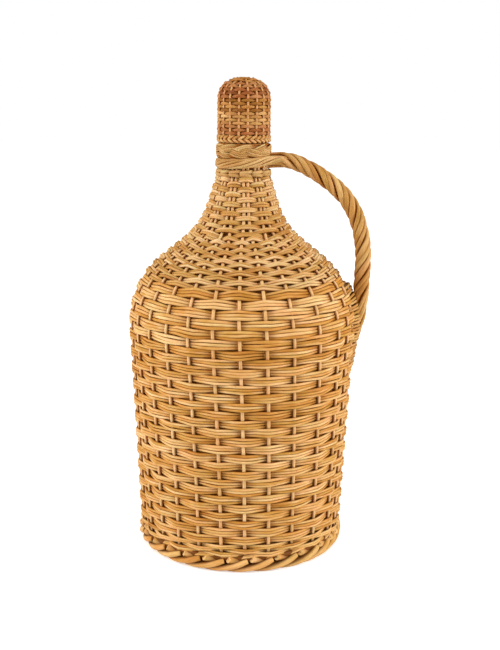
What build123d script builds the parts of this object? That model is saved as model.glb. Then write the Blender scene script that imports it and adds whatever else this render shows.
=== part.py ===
from build123d import *
import math
import os

# A demijohn: a glass bottle in a close willow weave, with one roped handle at the side of the neck
# and a cork stopper that wears a woven cap of its own. Millimetres and degrees, +Z up, the origin
# on the bottle's axis where it stands, and the handle towards +X.

# Glass outline, from the floor up: side, shoulder, slope, hollow, throat and neck bend
floor_height = 13.0
foot_radius = 80.4
side_length = 178.0
side_lean = -2.8
shoulder_radius = 65.3
slope_length = 24.5
slope_lean = 51.5
hollow_radius = 67.8
throat_lean = 18.0
throat_length = 26.0
neck_bend_radius = 20.0
lip_thickness = 2.2
lip_height = 8.0
lip_round = 1.8
glass_wall = 3.2
heel_radius = 14.0
punt_radius = 52.0
punt_rise = 11.0

# Willow of the body
stake_diameter = 2.8
rod_diameter = 2.4
lay_gap = 0.35
stake_count = 28
first_stake_angle = -86.5
drift_angle = 6.2
drift_centre = -33.0
drift_width = 22.0

# Courses, by their travel up the glass outline
wale_start = 3.3
course_start = 12.0
side_course_count = 29
side_course_pitch = 7.24
neck_course_count = 26
neck_course_pitch = 4.15
course_gap = 0.3
doubled_from = 13
neck_group = 3

# Foot
border_diameter = 16.2
border_radius = 82.2
border_flat = 0.5
stick_diameter = 4.0
stick_count = 8
base_rod_diameter = 2.4
base_eye_radius = 12.0

# Neck bindings, stacked on each other above the last course, and how far the lip stands over the
# collar, which puts the mouth at 348.4
waling_height = 7.6
waling_thickness = 3.4
wrap_height = 7.6
wrap_thickness = 3.2
collar_height = 13.3
collar_thickness = 7.8
lip_stand = 0.5984
binding_gap = 0.3
binding_round = 1.4
collar_round = 3.6

# Handle, in the plane Y = 0, from the neck over and down to the side
handle_diameter = 14.2
handle_core_diameter = 5.6
handle_gap = 0.3
handle_start = (16.0, 331.4)
handle_rise = (41.0, 333.6)
handle_bend = (88.8, 306.8)
handle_reach = (104.2, 254.0)
handle_entry = (99.8, 212.0)
handle_tail = (90.6, 160.0)
bend_share = 0.45

# Cork: a shank in the bore and a rounded head on the lip
seat_gap = 0.3
cork_shank_length = 24.0
cork_shank_clearance = 0.3
cork_taper = 1.2
cork_lead = 1.0
cork_head_radius = 16.2
cork_head_height = 33.6
cork_round_radius = 11.4

# Woven cap on the cork's head, its rows by their travel up the head
cap_stake_diameter = 2.0
cap_rod_diameter = 1.8
cap_lay_gap = 0.3
cap_stake_count = 18
cap_first_stake_angle = -76.5
cap_border_height = 4.4
cap_border_thickness = 6.6
cap_row_gap = 0.25
cap_straight_row_count = 11
cap_dome_row_count = 5
cap_dome_row_pitch = 2.1
cap_dark_rows = 3
cap_pale_rows = 4


def line_of(radius, height, *stretches):
    """An outline from a start, in stretches of length, arc radius (0 is straight) and end leans."""
    return radius, height, stretches


def arc_length(radius, lean_from, lean_to):
    """Length of an arc between two leans."""
    return abs(radius * math.radians(lean_to - lean_from))


def skin(line, travel, depth):
    """Radius, height and lean of the layer that lies depth outside an outline, at a travel up it."""
    radius, height, stretches = line
    lean = stretches[0][2]
    for length, bend, lean_from, lean_to in stretches:
        run = min(travel, length)
        if bend:
            lean = lean_from + run / length * (lean_to - lean_from)
            turn_from, turn_to = math.radians(lean_from), math.radians(lean)
            radius += bend * (math.cos(turn_to) - math.cos(turn_from))
            height += bend * (math.sin(turn_to) - math.sin(turn_from))
        else:
            lean = lean_from
            radius -= run * math.sin(math.radians(lean))
            height += run * math.cos(math.radians(lean))
        travel -= length
        if travel <= 0:
            break
    normal = math.radians(lean)
    return radius + depth * math.cos(normal), height + depth * math.sin(normal), lean


def line_length(line):
    """Whole travel of an outline."""
    return sum(stretch[0] for stretch in line[2])


def skin_line(line, depth, start, end):
    """Draw a layer of an outline as straight lines and arcs between two travels."""
    begun = 0
    for length, bend, _, _ in line[2]:
        lower, upper = max(start, begun), min(end, begun + length)
        begun += length
        if upper <= lower:
            continue
        bottom = skin(line, lower, depth)[:2]
        top = skin(line, upper, depth)[:2]
        if bend:
            ThreePointArc(bottom, skin(line, (lower + upper) / 2, depth)[:2], top)
        else:
            Line(bottom, top)


def around(radius, angle):
    """A point at a radius and an angle about the axis."""
    return radius * math.cos(math.radians(angle)), radius * math.sin(math.radians(angle))


def woven_line(columns, over, radius, swing):
    """The closed wavy line of a course that passes outside every other column of stakes."""
    points = []
    for number, column in enumerate(columns):
        side = swing if number % 2 == over else -swing
        middle = (column[0] + column[-1]) / 2
        points += [around(radius + side, angle) for angle in sorted({column[0], middle, column[-1]})]
        following = columns[number + 1][0] if number + 1 < len(columns) else columns[0][0] + 360
        points.append(around(radius, (column[-1] + following) / 2))
    Spline(*points, periodic=True)


def woven_course(columns, over, edges, swing, thickness):
    """One course between two edges, each the radius, height and lean of the course's middle."""
    with BuildPart() as course:
        for side, mode in ((thickness / 2, Mode.ADD), (-thickness / 2, Mode.SUBTRACT)):
            for radius, height, lean in edges:
                reach = 1 / math.cos(math.radians(lean))
                with BuildSketch(Plane.XY.offset(height)):
                    with BuildLine():
                        woven_line(columns, over, radius + side * reach, swing * reach)
                    make_face()
            loft(ruled=True, mode=mode)
    return course.part


def ring(inner_radius, bottom, thickness, height, rounding):
    """A binding round the neck, with its outer edges rounded."""
    with BuildPart() as binding:
        with BuildSketch(Plane.XZ):
            with Locations((inner_radius, bottom)):
                Rectangle(thickness, height, align=(Align.MIN, Align.MIN))
        revolve(axis=Axis.Z)
        rims = binding.edges().filter_by(GeomType.CIRCLE).sort_by(SortBy.RADIUS)[-2:]
        fillet(rims, rounding)
    return binding.part


def keep(piece, name):
    """Label a finished piece and write it."""
    piece.label = name
    export_step(piece, f"parts/{name}.step")


os.makedirs("parts", exist_ok=True)

glass_line = line_of(
    foot_radius,
    floor_height,
    (side_length, 0, side_lean, side_lean),
    (arc_length(shoulder_radius, side_lean, slope_lean), shoulder_radius, side_lean, slope_lean),
    (slope_length, 0, slope_lean, slope_lean),
    (arc_length(hollow_radius, slope_lean, throat_lean), -hollow_radius, slope_lean, throat_lean),
    (throat_length, 0, throat_lean, throat_lean),
    (arc_length(neck_bend_radius, throat_lean, 0), -neck_bend_radius, throat_lean, 0),
)
glass_length = line_length(glass_line)

# Depths of the woven skin outside the glass
weave_depth = lay_gap + rod_diameter + lay_gap + stake_diameter / 2
weave_swing = stake_diameter / 2 + lay_gap + rod_diameter / 2
skin_depth = weave_depth + weave_swing + rod_diameter / 2

# Heights of the neck bindings above the last course, and of the mouth above them
neck_start = course_start + side_course_count * side_course_pitch
neck_end = neck_start + neck_course_count * neck_course_pitch
last_radius, last_height, _ = skin(glass_line, neck_end, weave_depth)
waling_bottom = last_height + binding_gap
wrap_bottom = waling_bottom + waling_height + binding_gap
collar_bottom = wrap_bottom + wrap_height + binding_gap
mouth_height = collar_bottom + collar_height + lip_stand

# Glass bottle: blown hollow, with a punt under it, a drawn neck and a rolled lip
neck_radius, neck_height, _ = skin(glass_line, glass_length, 0)
bore_radius = neck_radius - glass_wall
lip_radius = neck_radius + lip_thickness
lip_bottom = mouth_height - lip_height
punt_centre = floor_height + punt_rise - punt_radius
with BuildPart() as hollow:
    with BuildSketch(Plane.XZ):
        with BuildLine():
            skin_line(glass_line, -glass_wall, glass_wall, glass_length)
            Polyline(
                (bore_radius, neck_height),
                (bore_radius, mouth_height),
                (0, mouth_height),
                (0, skin(glass_line, glass_wall, -glass_wall)[1]),
                skin(glass_line, glass_wall, -glass_wall)[:2],
            )
        make_face()
    revolve(axis=Axis.Z)
    fillet(hollow.edges().filter_by(GeomType.CIRCLE).group_by(Axis.Z)[0], heel_radius - glass_wall)
    with Locations((0, 0, punt_centre)):
        Sphere(punt_radius + glass_wall, mode=Mode.SUBTRACT)
with BuildPart() as glass_bottle:
    with BuildSketch(Plane.XZ):
        with BuildLine():
            skin_line(glass_line, 0, 0, glass_length)
            Polyline(
                (neck_radius, neck_height),
                (neck_radius, lip_bottom),
                (lip_radius, lip_bottom),
                (lip_radius, mouth_height),
                (0, mouth_height),
                (0, floor_height),
                (foot_radius, floor_height),
            )
        make_face()
    revolve(axis=Axis.Z)
    fillet(glass_bottle.edges().filter_by(GeomType.CIRCLE).group_by(Axis.Z)[0], heel_radius)
    fillet(glass_bottle.edges().filter_by(GeomType.CIRCLE).group_by(Axis.Z)[-1], lip_round)
    with Locations((0, 0, punt_centre)):
        Sphere(punt_radius, mode=Mode.SUBTRACT)
    add(hollow.part, mode=Mode.SUBTRACT)
keep(glass_bottle.part, "glass_bottle")

# Foot border: the plaited ring that the bottle stands on, flat where it is worn
border_half = border_diameter / 2
border_mid_height = border_half - border_flat
border_top = border_diameter - border_flat
with BuildPart() as foot_border:
    with BuildSketch(Plane.XZ):
        with Locations((border_radius, border_mid_height)):
            Circle(border_half)
        with Locations((border_radius, 0)):
            under = (Align.CENTER, Align.MAX)
            Rectangle(border_diameter, border_diameter, align=under, mode=Mode.SUBTRACT)
    revolve(axis=Axis.Z)
keep(foot_border.part, "foot_border")

# Base: crossed sticks from border to border, and rounds of rod on them that the glass stands on
round_height = floor_height - lay_gap - base_rod_diameter / 2
stick_height = round_height - base_rod_diameter / 2 - lay_gap - stick_diameter / 2
stick_reach = border_radius - border_half - lay_gap
with BuildPart() as base_sticks:
    with BuildSketch(Plane.YZ):
        with Locations((0, stick_height)):
            Circle(stick_diameter / 2)
    extrude(amount=stick_reach, both=True)
    one_stick = base_sticks.part
    with Locations(*[Rotation(0, 0, turn * 180 / stick_count) for turn in range(1, stick_count)]):
        add(one_stick)
keep(base_sticks.part, "base_sticks")

round_pitch = base_rod_diameter + lay_gap
round_count = int((stick_reach - base_eye_radius) / round_pitch)
round_places = [(base_eye_radius + turn * round_pitch, round_height) for turn in range(round_count)]
with BuildPart() as base_rounds:
    with BuildSketch(Plane.XZ):
        with Locations(*round_places):
            Circle(base_rod_diameter / 2)
    revolve(axis=Axis.Z)
keep(base_rounds.part, "base_rounds")


def standing_angle(number):
    """Where a stake stands round the side: evenly, but for a stretch where the spacing drifts."""
    even = first_stake_angle + number * 360 / stake_count
    return even + drift_angle * math.exp(-(((even - drift_centre) / drift_width) ** 2))


def stake_angle(number, travel):
    """Where a stake is at a travel up the bottle: past the shoulder it closes up on its partner."""
    own = standing_angle(number)
    partner = standing_angle(number + 1 if number % 2 == 0 else number - 1)
    spacing = (stake_diameter + lay_gap) / skin(glass_line, travel, weave_depth)[0]
    closed = (own + partner + math.copysign(math.degrees(spacing), own - partner)) / 2
    share = (travel - pairing_start) / pairing_length
    return own + min(max(share, 0), 1) * (closed - own)


# Courses of the body: in one stake and out the next, each over the stakes the last left bare
pairing_start = side_length + arc_length(shoulder_radius, side_lean, slope_lean) + slope_length
pairing_length = arc_length(hollow_radius, slope_lean, throat_lean)


def body_course(number, start, end, abreast):
    """One course between two travels up the glass, round one stake or two abreast at a time."""
    angles = [stake_angle(stake, (start + end) / 2) for stake in range(stake_count)]
    columns = [angles[first : first + abreast] for first in range(0, stake_count, abreast)]
    edges = [skin(glass_line, travel, weave_depth) for travel in (start, end - course_gap)]
    return woven_course(columns, number % 2, edges, weave_swing, rod_diameter)


# Foot wale: the stout first course, which sits on the border
keep(body_course(1, wale_start, course_start, 1), "foot_wale")

# Side courses: three rods abreast
for number in range(side_course_count):
    start = course_start + number * side_course_pitch
    side_course = body_course(number, start, start + side_course_pitch, 1)
    keep(side_course, f"side_course_{number + 1:02d}")

# Shoulder and neck courses: two rods abreast, and round two stakes at a time once these are close
neck_courses = []
for number in range(neck_course_count):
    start = neck_start + number * neck_course_pitch
    abreast = 1 if number < doubled_from else 2
    turn = number + side_course_count
    neck_courses.append(body_course(turn, start, start + neck_course_pitch, abreast))
for group in range(0, neck_course_count, neck_group):
    with BuildPart() as neck_band:
        add(neck_courses[group : group + neck_group])
    keep(neck_band.part, f"neck_courses_{group // neck_group + 1}")

# Neck bindings: a waling round, the wrap of the handle's rods, and the plaited collar at the mouth
binding_bore = last_radius + stake_diameter / 2 + lay_gap
collar_bore = lip_radius + lay_gap
collar_radius = collar_bore + collar_thickness
neck_waling = ring(binding_bore, waling_bottom, waling_thickness, waling_height, binding_round)
keep(neck_waling, "neck_waling")
handle_wrap = ring(binding_bore, wrap_bottom, wrap_thickness, wrap_height, binding_round)
keep(handle_wrap, "handle_wrap")
neck_collar = ring(collar_bore, collar_bottom, collar_thickness, collar_height, collar_round)
keep(neck_collar, "neck_collar")

# Stakes: from the border up the side, over the shoulder and up the neck to the collar
stake_start = border_top + lay_gap - floor_height
stake_top = collar_bottom - binding_gap


def stake_place(number, travel):
    """The middle of a stake at a travel up the bottle."""
    radius, height, _ = skin(glass_line, travel, weave_depth)
    return (*around(radius, stake_angle(number, travel)), height)


def stake_run(number):
    """One stake, in the lines and arcs of the outline that it follows."""
    with BuildPart() as run:
        with BuildLine() as path:
            begun = 0
            for length, bend, _, _ in glass_line[2]:
                start, end = max(begun, stake_start), begun + length
                middle = (start + end) / 2
                begun = end
                bottom, top = stake_place(number, start), stake_place(number, end)
                if bend:
                    ThreePointArc(bottom, stake_place(number, middle), top)
                else:
                    Line(bottom, top)
            Line(top, (top[0], top[1], stake_top))
        with BuildSketch(Plane(origin=path.line @ 0, z_dir=path.line % 0)):
            Circle(stake_diameter / 2)
        sweep(path=path.line)
    return run.part


stake_runs = [stake_run(number) for number in range(stake_count)]
with BuildPart() as stakes:
    add(stake_runs)
keep(stakes.part, "stakes")

# Room that the bottle, its weave and its collar take up beside the handle
with BuildPart() as bottle_room:
    room_depth = skin_depth + handle_gap
    with BuildSketch(Plane.XZ):
        with BuildLine():
            skin_line(glass_line, room_depth, 0, glass_length)
            Polyline(
                skin(glass_line, glass_length, room_depth)[:2],
                (0, neck_height),
                (0, floor_height),
                skin(glass_line, 0, room_depth)[:2],
            )
        make_face()
    revolve(axis=Axis.Z)
    with Locations((0, 0, waling_bottom)):
        upright = (Align.CENTER, Align.CENTER, Align.MIN)
        Cylinder(collar_radius + handle_gap, mouth_height - waling_bottom, align=upright)

# Handle: a bow of one stout rod, and the rods that are twisted round it
handle_points = [handle_start, handle_rise, handle_bend, handle_reach, handle_entry, handle_tail]


def bend_radii(points):
    """Radius for each corner of a route: as large as the shorter of its two runs allows."""
    radii = []
    for before, corner, after in zip(points, points[1:], points[2:]):
        arriving, leaving = Vector(corner) - Vector(before), Vector(after) - Vector(corner)
        half_turn = math.radians(arriving.get_angle(leaving)) / 2
        radii.append(bend_share * min(arriving.length, leaving.length) / math.tan(half_turn))
    return radii


def handle_tube(outer_diameter, inner_diameter):
    """A tube along the handle, hollow or solid, trimmed to the bottle that it grows from."""
    with BuildPart() as tube:
        with BuildLine(Plane.XZ) as route:
            FilletPolyline(*handle_points, radius=bend_radii(handle_points))
        with BuildSketch(Plane(origin=route.line @ 0, z_dir=route.line % 0)):
            Circle(outer_diameter / 2)
            if inner_diameter:
                Circle(inner_diameter / 2, mode=Mode.SUBTRACT)
        sweep(path=route.line)
        add(bottle_room.part, mode=Mode.SUBTRACT)
    return tube.part


keep(handle_tube(handle_core_diameter, 0), "handle_bow")
keep(handle_tube(handle_diameter, handle_core_diameter + handle_gap), "handle_rope")

# Cork stopper: a tapered shank in the bore, and a head with a rounded top that the cap is woven on
head_bottom = mouth_height + seat_gap
cork_line = line_of(
    cork_head_radius,
    head_bottom,
    (cork_head_height, 0, 0, 0),
    (arc_length(cork_round_radius, 0, 90), cork_round_radius, 0, 90),
)
cork_length = line_length(cork_line)
cork_top = skin(cork_line, cork_length, 0)
shank_radius = bore_radius - cork_shank_clearance
with BuildPart() as cork_stopper:
    with BuildSketch(Plane.XZ):
        with BuildLine():
            skin_line(cork_line, 0, 0, cork_length)
            Polyline(
                cork_top[:2],
                (0, cork_top[1]),
                (0, head_bottom - cork_shank_length),
                (shank_radius - cork_taper - cork_lead, head_bottom - cork_shank_length),
                (shank_radius - cork_taper, head_bottom - cork_shank_length + cork_lead),
                (shank_radius, head_bottom),
                (cork_head_radius, head_bottom),
            )
        make_face()
    revolve(axis=Axis.Z)
keep(cork_stopper.part, "cork_stopper")

# Woven cap: a border round the foot of the cork's head, stakes, rows of single rods and a crown
cap_weave_depth = cap_lay_gap + cap_rod_diameter + cap_lay_gap + cap_stake_diameter / 2
cap_swing = cap_stake_diameter / 2 + cap_lay_gap + cap_rod_diameter / 2
cap_skin_depth = cap_weave_depth + cap_swing + cap_rod_diameter / 2
cap_bore = cork_head_radius + cap_lay_gap
cap_border = ring(cap_bore, head_bottom, cap_border_thickness, cap_border_height, binding_round)
keep(cap_border, "cap_border")

cap_columns = [(cap_first_stake_angle + n * 360 / cap_stake_count,) for n in range(cap_stake_count)]
cap_start = cap_border_height + cap_row_gap
cap_row_pitch = (cork_head_height - cap_start) / cap_straight_row_count
row_starts = [cap_start + row * cap_row_pitch for row in range(cap_straight_row_count)]
row_starts += [cork_head_height + row * cap_dome_row_pitch for row in range(cap_dome_row_count + 1)]
cap_rows = []
for row, (start, end) in enumerate(zip(row_starts, row_starts[1:])):
    edges = [skin(cork_line, travel, cap_weave_depth) for travel in (start, end - cap_row_gap)]
    cap_rows.append(woven_course(cap_columns, row % 2, edges, cap_swing, cap_rod_diameter))
pale_start, golden_start = cap_dark_rows, cap_dark_rows + cap_pale_rows
cap_zones = {
    "cap_rows_dark": cap_rows[:pale_start],
    "cap_rows_pale": cap_rows[pale_start:golden_start],
    "cap_rows_golden": cap_rows[golden_start:cap_straight_row_count],
    "cap_rows_russet": cap_rows[cap_straight_row_count:],
}
for name, rows in cap_zones.items():
    with BuildPart() as zone:
        add(rows)
    keep(zone.part, name)

rows_top = skin(cork_line, row_starts[-1], cap_weave_depth)[1]
with BuildPart() as one_cap_stake:
    with BuildLine(Plane.XZ) as cap_stake_path:
        skin_line(cork_line, cap_weave_depth, cap_start, cork_length)
    with BuildSketch(Plane(origin=cap_stake_path.line @ 0, z_dir=cap_stake_path.line % 0)):
        Circle(cap_stake_diameter / 2)
    sweep(path=cap_stake_path.line)
    split(bisect_by=Plane.XY.offset(rows_top - cap_row_gap), keep=Keep.BOTTOM)
with BuildPart() as cap_stakes:
    with Locations(*[Rotation(0, 0, column[0]) for column in cap_columns]):
        add(one_cap_stake.part)
keep(cap_stakes.part, "cap_stakes")

with BuildPart() as cap_crown:
    for depth, mode in ((cap_skin_depth, Mode.ADD), (cap_lay_gap, Mode.SUBTRACT)):
        crown_top = skin(cork_line, cork_length, depth)
        with BuildSketch(Plane.XZ):
            with BuildLine():
                skin_line(cork_line, depth, cork_head_height, cork_length)
                Polyline(
                    crown_top[:2],
                    (0, crown_top[1]),
                    (0, head_bottom + cork_head_height),
                    skin(cork_line, cork_head_height, depth)[:2],
                )
            make_face()
        revolve(axis=Axis.Z, mode=mode)
    split(bisect_by=Plane.XY.offset(rows_top), keep=Keep.TOP)
keep(cap_crown.part, "cap_crown")
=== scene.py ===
import math

import bpy
import numpy as np
from mathutils import Matrix


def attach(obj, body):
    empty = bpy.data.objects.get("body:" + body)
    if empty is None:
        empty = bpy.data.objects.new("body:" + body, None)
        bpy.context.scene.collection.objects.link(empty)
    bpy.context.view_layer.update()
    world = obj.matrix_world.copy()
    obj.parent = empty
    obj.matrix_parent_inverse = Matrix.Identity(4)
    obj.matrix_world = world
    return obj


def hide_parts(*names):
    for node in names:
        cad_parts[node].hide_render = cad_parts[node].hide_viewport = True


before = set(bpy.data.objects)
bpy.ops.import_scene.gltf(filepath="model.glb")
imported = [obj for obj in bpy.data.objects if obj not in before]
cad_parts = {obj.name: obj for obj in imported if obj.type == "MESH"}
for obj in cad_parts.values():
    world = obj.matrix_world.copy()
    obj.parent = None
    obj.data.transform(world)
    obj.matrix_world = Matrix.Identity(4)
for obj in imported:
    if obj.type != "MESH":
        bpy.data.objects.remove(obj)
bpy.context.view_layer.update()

# ---- Glass bottle ----
# Blown green glass, hollow, with a punt under it and a rolled lip. It stands on the base rounds and
# the cover is woven round it, so only its lip shows, and only when the stopper is drawn.


class Wire:
    """One output of a node, on which sums are written as plain expressions."""

    def __init__(self, finish, output):
        self.finish = finish
        self.output = output

    def maths(self, operation, first, second):
        """One sum of two values, each of them a wire or a number."""
        return self.finish.node("ShaderNodeMath", {"operation": operation}, {0: first, 1: second})

    def __add__(self, other):
        return self.maths("ADD", self, other)

    def __radd__(self, other):
        return self.maths("ADD", other, self)

    def __sub__(self, other):
        return self.maths("SUBTRACT", self, other)

    def __rsub__(self, other):
        return self.maths("SUBTRACT", other, self)

    def __mul__(self, other):
        return self.maths("MULTIPLY", self, other)

    def __rmul__(self, other):
        return self.maths("MULTIPLY", other, self)


class Finish:
    """The nodes of one finish of the object, or of the room round it."""

    def __init__(self, holder):
        self.holder = holder
        holder.use_nodes = True
        self.tree = holder.node_tree
        self.tree.nodes.clear()

    def node(self, kind, settings=None, sockets=None, output=0):
        """Add a node: its type, its settings, the values or links of its sockets, and its output."""
        node = self.tree.nodes.new(kind)
        for name, value in (settings or {}).items():
            if name == "stops":
                ramp = node.color_ramp.elements
                ramp[0].position, ramp[0].color = value[0]
                ramp[1].position, ramp[1].color = value[-1]
                for place, colour in value[1:-1]:
                    ramp.new(place).color = colour
            else:
                setattr(node, name, value)
        for name, value in (sockets or {}).items():
            if isinstance(value, Wire):
                self.tree.links.new(value.output, node.inputs[name])
            else:
                node.inputs[name].default_value = value
        return Wire(self, node.outputs[output]) if node.outputs else None

    def here(self):
        """The place on the object, in metres."""
        return self.node("ShaderNodeTexCoord", output="Object")

    def blend(self, share, below, above, how="MIX"):
        """Mix two colours."""
        settings = {"data_type": "RGBA", "blend_type": how, "clamp_factor": True}
        return self.node("ShaderNodeMix", settings, {0: share, 6: below, 7: above}, 2)

    def stretch(self, place, *scales):
        """Scale a place by its own amount along each of its axes."""
        return self.node("ShaderNodeVectorMath", {"operation": "MULTIPLY"}, {0: place, 1: scales})

    def noise(self, place, scale, detail=2.0, roughness=0.5):
        """A noise of about 0 to 1 over places on the surface."""
        sockets = {"Vector": place, "Scale": scale, "Detail": detail, "Roughness": roughness}
        return self.node("ShaderNodeTexNoise", {}, sockets)

    def share(self, value, start, end, low=0.0, high=1.0):
        """How far a value has come from start to end, as a share between low and high."""
        sockets = {"Value": value, 1: start, 2: end, 3: low, 4: high}
        return self.node("ShaderNodeMapRange", {"clamp": True}, sockets)

    def bump(self, strength, distance, height):
        """The way that the surface faces when it is raised by a height."""
        sockets = {"Strength": strength, "Distance": distance, "Height": height}
        return self.node("ShaderNodeBump", {}, sockets)

    def surface(self, sockets):
        """Close the material with the shader of its surface."""
        shader = self.node("ShaderNodeBsdfPrincipled", {}, sockets)
        self.node("ShaderNodeOutputMaterial", {}, {"Surface": shader})
        return self.holder


def paint(red, green, blue):
    """A colour for a socket, from the 0 to 255 values that it shows on a screen."""
    shown = [value / 255 for value in (red, green, blue)]
    return [v / 12.92 if v <= 0.04045 else ((v + 0.055) / 1.055) ** 2.4 for v in shown] + [1.0]


def bottle_glass():
    """Old bottle glass: olive green at the lip, and below it a brown that is painted shade for the slits
    of the weave.
    """
    finish = Finish(bpy.data.materials.new("bottle_glass"))
    place = finish.here()
    cloud = finish.noise(place, 38.0, 3.0)
    ripple = finish.noise(finish.stretch(place, 1.0, 1.0, 0.35), 90.0, 2.0)
    # Painted shade: under the cover the glass is brown, to read as the shade in the slits of the weave.
    slit_shade_brown = finish.blend(cloud, paint(126, 64, 12), paint(158, 92, 28))
    lip_green = finish.blend(cloud, paint(36, 48, 20), paint(64, 80, 34))
    height = finish.node("ShaderNodeSeparateXYZ", {}, {"Vector": place}, "Z")
    brown_ends, green_from = 0.334, 0.344
    # The glass turns from the painted brown to its own green towards the lip.
    lip_share = finish.share(height, brown_ends, green_from)
    return finish.surface({
        "Base Color": finish.blend(lip_share, slit_shade_brown, lip_green),
        "Roughness": 0.7 + 0.2 * cloud - 0.7 * lip_share, "IOR": 1.5,
        "Specular IOR Level": 0.2, "Transmission Weight": 0.12,
        "Normal": finish.bump(0.2, 0.0006, ripple),
    })


def dress(node, material):
    """Give a CAD node that stays its material."""
    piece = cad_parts[node]
    piece.data.materials.clear()
    piece.data.materials.append(material)
    return piece


dress("glass_bottle", bottle_glass())

# ---- Base ----
# Eight willow sticks cross under the glass from border to border, and rounds of thinner rod are
# woven over and under them from the middle out. The glass rests on the rounds.

mm = 0.001
chance = np.random.default_rng(11)


def unit(rows):
    """Directions brought to length one."""
    return rows / np.linalg.norm(rows, axis=-1, keepdims=True)


def length_along(line):
    """How far along a line each of its points is."""
    return np.r_[0, np.cumsum(np.linalg.norm(np.diff(line, axis=0), axis=1))]


def polar(radius, turn, level):
    """Points from their distances from the axis, turns about it and heights."""
    return np.stack(np.broadcast_arrays(radius * np.cos(turn), radius * np.sin(turn), level), -1)


class Bundle:
    """Rods that belong to one piece, each a closed tube that follows its own line."""

    def __init__(self):
        self.points, self.grains, self.tones, self.shelters, self.crests = [], [], [], [], []
        self.faces, self.smooth = [], []
        self.count = 0

    def rod(self, line, outward, across, through, tone, shelter=0.0, sides=8, cut=False):
        """Lay a rod: its line, the way that faces out, its half widths, colour and painted shade.

        The flanks of a rod get painted shade, but not those of a cut face.
        """
        line = np.asarray(line, float)
        size = len(line)
        across, through = (np.broadcast_to(half, size)[:, None, None] for half in (across, through))
        run = unit(np.gradient(line, axis=0))
        side = unit(np.cross(np.broadcast_to(outward, line.shape), run))
        out = np.cross(run, side)
        turn = np.arange(sides) * math.tau / sides
        flat = np.cos(turn)[None, :, None] * across
        up = np.sin(turn)[None, :, None] * through
        along = length_along(line) + chance.uniform(0, 9)
        grain = np.stack(np.broadcast_arrays(along[:, None], flat[..., 0], up[..., 0]), -1)
        self.points.append((line[:, None] + (flat * side[:, None] + up * out[:, None])).reshape(-1, 3))
        self.grains.append(grain.reshape(-1, 3))
        self.tones.append(np.full(size * sides, tone))
        # How far round each point lies towards the outer face: the flanks below the crest get painted
        # shade, and a cut face is all crest.
        self.crests.append(np.tile(1.0 if cut else np.sin(turn), size * sides if cut else size))
        # How much painted shade each point gets where the rod is hidden in the weave.
        self.shelters.append(np.repeat(np.broadcast_to(shelter, size), sides))
        ring = self.count + np.arange(size * sides).reshape(size, sides)
        beside = np.roll(ring, -1, axis=1)
        quads = np.stack([ring[:-1], beside[:-1], beside[1:], ring[1:]], -1).reshape(-1, 4)
        self.faces += quads.tolist()
        self.faces += [ring[0, ::-1].tolist(), ring[-1].tolist()]
        self.smooth += [True] * len(quads) + [False, False]
        self.count += size * sides

    def piece(self, name, material, body, slot, *nodes):
        """Make the rods into one piece that stands for its CAD nodes."""
        mesh = bpy.data.meshes.new(name)
        mesh.from_pydata(np.concatenate(self.points).tolist(), [], self.faces)
        mesh.polygons.foreach_set("use_smooth", self.smooth)
        for label, kind, key, values in (
            ("tone", "FLOAT", "value", self.tones),
            ("shelter", "FLOAT", "value", self.shelters),
            ("crest", "FLOAT", "value", self.crests),
            ("grain", "FLOAT_VECTOR", "vector", self.grains),
        ):
            held = mesh.attributes.new(label, kind, "POINT")
            held.data.foreach_set(key, np.concatenate(values).astype(np.float32).ravel())
        mesh.materials.append(material)
        mesh.update()
        piece = bpy.data.objects.new(name, mesh)
        bpy.context.scene.collection.objects.link(piece)
        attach(piece, body)
        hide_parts(*nodes)


# The deep brown given last is the colour of the painted shade.
def willow(name, dark, middle, pale, shade_colour=paint(146, 76, 2), gloss=0.34, flank_shade_most=0.85):
    """Peeled willow under thin varnish: streaks along each rod, its own tone, and painted brown shade in
    the slits and on the flanks of each rod.
    """
    finish = Finish(bpy.data.materials.new(name))
    tone, shelter, crest = (
        finish.node("ShaderNodeAttribute", {"attribute_name": label}, output="Fac")
        for label in ("tone", "shelter", "crest")
    )
    grain = finish.node("ShaderNodeAttribute", {"attribute_name": "grain"}, output="Vector")
    streak = finish.noise(finish.stretch(grain, 45.0, 1500.0, 1500.0), 1.0, 3.0, 0.6)
    patch = finish.noise(finish.stretch(grain, 62.0, 150.0, 150.0), 1.0, 2.0)
    fleck = finish.noise(finish.stretch(grain, 420.0, 900.0, 900.0), 1.0, 1.0)
    drift = finish.noise(finish.stretch(grain, 26.0, 90.0, 90.0), 1.0, 1.0)
    cloud = finish.noise(finish.here(), 26.0, 2.0)
    shade = tone * 0.5 + streak * 0.6 + patch * 0.85 + cloud * 0.4 - 0.66
    stops = [(0.0, dark), (0.42, middle), (0.95, pale)]
    colour = finish.node("ShaderNodeValToRGB", {"stops": stops}, {"Fac": shade})
    scar = finish.share(fleck, 0.70, 0.80, 0.0, 0.6)
    colour = finish.blend(scar, colour, dark)
    hue = finish.blend(finish.share(drift, 0.36, 0.64), paint(255, 240, 234), paint(246, 252, 240))
    colour = finish.blend(0.8, colour, hue, "MULTIPLY")
    # Painted shade on the flanks and back of each rod, away from its outer face.
    flank_shade = finish.share(crest, 0.7, 0.0, 0.0, flank_shade_most)
    colour = finish.blend(flank_shade, colour, shade_colour)
    # Painted shade where the rod is hidden in the weave.
    colour = finish.blend(shelter, colour, shade_colour)
    return finish.surface({
        "Base Color": colour, "Roughness": gloss + 0.22 * streak + 0.25 * shelter,
        "Normal": finish.bump(0.35, 0.00025, streak),
        "Specular IOR Level": 0.1, "Coat Weight": 0.07, "Coat Roughness": 0.2,
    })


# The foot's painted shade is a darker brown.
foot_willow = willow("foot_willow", paint(160, 98, 22), paint(208, 152, 75), paint(240, 198, 135),
                     shade_colour=paint(106, 55, 8))

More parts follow.
